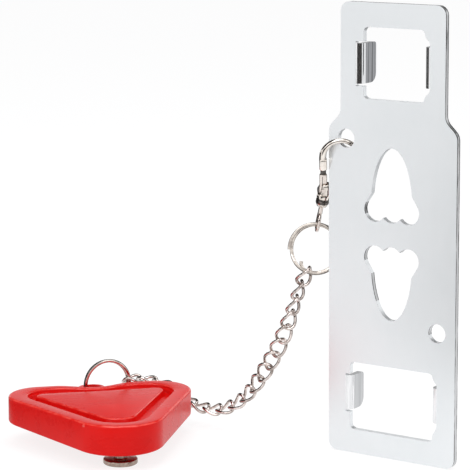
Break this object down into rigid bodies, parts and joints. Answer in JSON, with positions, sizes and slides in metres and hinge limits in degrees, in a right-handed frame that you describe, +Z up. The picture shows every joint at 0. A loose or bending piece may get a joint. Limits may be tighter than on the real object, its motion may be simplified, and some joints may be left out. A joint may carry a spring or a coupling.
{
  "type": "portable door lock",
  "caption": "Flat steel strike plate with bent claws and keyhole slots, tied by a snap and twisted chain to a rounded plastic wedge with a locking stud.",
  "frame": {"origin": "middle of the plate's back face, on the bridge between the two keyhole slots", "axes": "+X to the plate's right, +Y from its room side to its back, where the claws reach, +Z up its length"},
  "size_m": [0.1527, 0.0779, 0.1571],
  "materials": {
    "bright_steel": "bright",
    "nickel_plate": "polished",
    "dark_nickel": "polished",
    "red_plastic": "satin"
  },
  "bodies": {
    "plate": {"strike_plate": "bright_steel"},
    "snap": {"snap_body": "nickel_plate", "gate_rivet": "nickel_plate", "gate_spring": "nickel_plate"},
    "gate": {"snap_gate": "nickel_plate"},
    "eye": {"swivel_eye": "nickel_plate"},
    "upper_ring": {"upper_split_ring": "nickel_plate"},
    "link_01": {"chain_link_01": "nickel_plate"},
    "link_02": {"chain_link_02": "nickel_plate"},
    "link_03": {"chain_link_03": "nickel_plate"},
    "link_04": {"chain_link_04": "nickel_plate"},
    "link_05": {"chain_link_05": "nickel_plate"},
    "link_06": {"chain_link_06": "nickel_plate"},
    "link_07": {"chain_link_07": "nickel_plate"},
    "link_08": {"chain_link_08": "nickel_plate"},
    "link_09": {"chain_link_09": "nickel_plate"},
    "link_10": {"chain_link_10": "nickel_plate"},
    "link_11": {"chain_link_11": "nickel_plate"},
    "link_12": {"chain_link_12": "nickel_plate"},
    "link_13": {"chain_link_13": "nickel_plate"},
    "link_14": {"chain_link_14": "nickel_plate"},
    "link_15": {"chain_link_15": "nickel_plate"},
    "link_16": {"chain_link_16": "nickel_plate"},
    "link_17": {"chain_link_17": "nickel_plate"},
    "link_18": {"chain_link_18": "nickel_plate"},
    "link_19": {"chain_link_19": "nickel_plate"},
    "lower_ring": {"lower_split_ring": "nickel_plate"},
    "wedge": {"wedge_body": "red_plastic", "locking_stud": "dark_nickel"}
  },
  "joints": [
    {"name": "snap_swing", "type": "hinge", "parent": "plate", "child": "snap", "pos_m": [-0.018, -0.001, 0.0319], "axis": [0, 1, 0], "range_deg": [0, 45]},
    {"name": "gate_hinge", "type": "hinge", "parent": "snap", "child": "gate", "pos_m": [-0.02839, -0.00008, 0.01344], "axis": [-0.5309, 0.7724, 0.3486], "range_deg": [0, 7], "stiffness_Nm_per_rad": 0.02, "springref_deg": -20.05},
    {"name": "eye_swivel", "type": "hinge", "parent": "snap", "child": "eye", "pos_m": [-0.02854, 0.00065, 0.01159], "axis": [0.328, -0.192, 0.925], "range_deg": [-60, 60]},
    {"name": "upper_ring_hang", "type": "hinge", "parent": "eye", "child": "upper_ring", "pos_m": [-0.0334, 0.00349, -0.0021], "axis": [0.5567, -0.8101, 0.184], "range_deg": [-30, 30]},
    {"name": "link_01_hinge", "type": "hinge", "parent": "upper_ring", "child": "link_01", "pos_m": [-0.034, -0.00147, -0.01633], "axis": [0.8101, 0.4804, -0.3362], "range_deg": [-20, 20]},
    {"name": "link_02_hinge", "type": "hinge", "parent": "link_01", "child": "link_02", "pos_m": [-0.03671, -0.00159, -0.02121], "axis": [0.7883, 0.44, -0.4301], "range_deg": [-20, 20]},
    {"name": "link_03_hinge", "type": "hinge", "parent": "link_02", "child": "link_03", "pos_m": [-0.03819, -0.0016, -0.02537], "axis": [0.5993, -0.7689, -0.2226], "range_deg": [-20, 20]},
    {"name": "link_04_hinge", "type": "hinge", "parent": "link_03", "child": "link_04", "pos_m": [-0.04075, -0.00162, -0.03219], "axis": [-0.7192, -0.6393, 0.272], "range_deg": [-20, 20]},
    {"name": "link_05_hinge", "type": "hinge", "parent": "link_04", "child": "link_05", "pos_m": [-0.04228, -0.00163, -0.03631], "axis": [-0.022, 0.9997, 0.0083], "range_deg": [-20, 20]},
    {"name": "link_06_hinge", "type": "hinge", "parent": "link_05", "child": "link_06", "pos_m": [-0.0451, -0.00164, -0.04302], "axis": [0.9215, 0.0235, -0.3877], "range_deg": [-20, 20]},
    {"name": "link_07_hinge", "type": "hinge", "parent": "link_06", "child": "link_07", "pos_m": [-0.04724, -0.00164, -0.04687], "axis": [-0.3814, -0.8914, 0.2447], "range_deg": [-20, 20]},
    {"name": "link_08_hinge", "type": "hinge", "parent": "link_07", "child": "link_08", "pos_m": [-0.05117, -0.00164, -0.053], "axis": [-0.7507, 0.4531, 0.4808], "range_deg": [-20, 20]},
    {"name": "link_09_hinge", "type": "hinge", "parent": "link_08", "child": "link_09", "pos_m": [-0.05369, -0.00164, -0.05662], "axis": [0.6977, 0.4994, -0.5136], "range_deg": [-20, 20]},
    {"name": "link_10_hinge", "type": "hinge", "parent": "link_09", "child": "link_10", "pos_m": [-0.05801, -0.00164, -0.06248], "axis": [0.4017, -0.8663, -0.2968], "range_deg": [-20, 20]},
    {"name": "link_11_hinge", "type": "hinge", "parent": "link_10", "child": "link_11", "pos_m": [-0.06105, -0.00164, -0.06569], "axis": [-0.5603, 0, 0.8283], "range_deg": [-20, 20]},
    {"name": "link_12_hinge", "type": "hinge", "parent": "link_11", "child": "link_12", "pos_m": [-0.06708, -0.00168, -0.06977], "axis": [-0.0048, 1, -0.0033], "range_deg": [-20, 20]},
    {"name": "link_13_hinge", "type": "hinge", "parent": "link_12", "child": "link_13", "pos_m": [-0.07119, -0.0017, -0.07148], "axis": [0.0624, -0.4711, -0.8799], "range_deg": [-20, 20]},
    {"name": "link_14_hinge", "type": "hinge", "parent": "link_13", "child": "link_14", "pos_m": [-0.07845, -0.00166, -0.07201], "axis": [-0.0389, -0.8821, 0.4695], "range_deg": [-20, 20]},
    {"name": "link_15_hinge", "type": "hinge", "parent": "link_14", "child": "link_15", "pos_m": [-0.08286, -0.0016, -0.07142], "axis": [0.2982, 0.8133, 0.4997], "range_deg": [-15, 15]},
    {"name": "link_16_hinge", "type": "hinge", "parent": "link_15", "child": "link_16", "pos_m": [-0.08938, -0.00119, -0.0682], "axis": [-0.3319, 0.5792, -0.7446], "range_deg": [-12, 12]},
    {"name": "link_17_hinge", "type": "hinge", "parent": "link_16", "child": "link_17", "pos_m": [-0.09331, -0.00146, -0.06608], "axis": [0.1589, -0.7166, -0.6792], "range_deg": [-12, 12]},
    {"name": "link_18_hinge", "type": "hinge", "parent": "link_17", "child": "link_18", "pos_m": [-0.09926, -0.00497, -0.06377], "axis": [0.5548, -0.5042, 0.6618], "range_deg": [-12, 5]},
    {"name": "link_19_hinge", "type": "hinge", "parent": "link_18", "child": "link_19", "pos_m": [-0.10241, -0.00802, -0.06286], "axis": [-0.6097, 0.3225, 0.7241], "range_deg": [-12, 6]},
    {"name": "lower_ring_hang", "type": "hinge", "parent": "link_19", "child": "lower_ring", "pos_m": [-0.1046, -0.01286, -0.06251], "axis": [-0.0255, -0.0457, 0.9986], "range_deg": [-20, 4]},
    {"name": "wedge_turn", "type": "hinge", "parent": "lower_ring", "child": "wedge", "pos_m": [-0.11286, -0.0277, -0.0655], "axis": [0, 0, -1], "range_deg": [0, 25]}
  ]
}
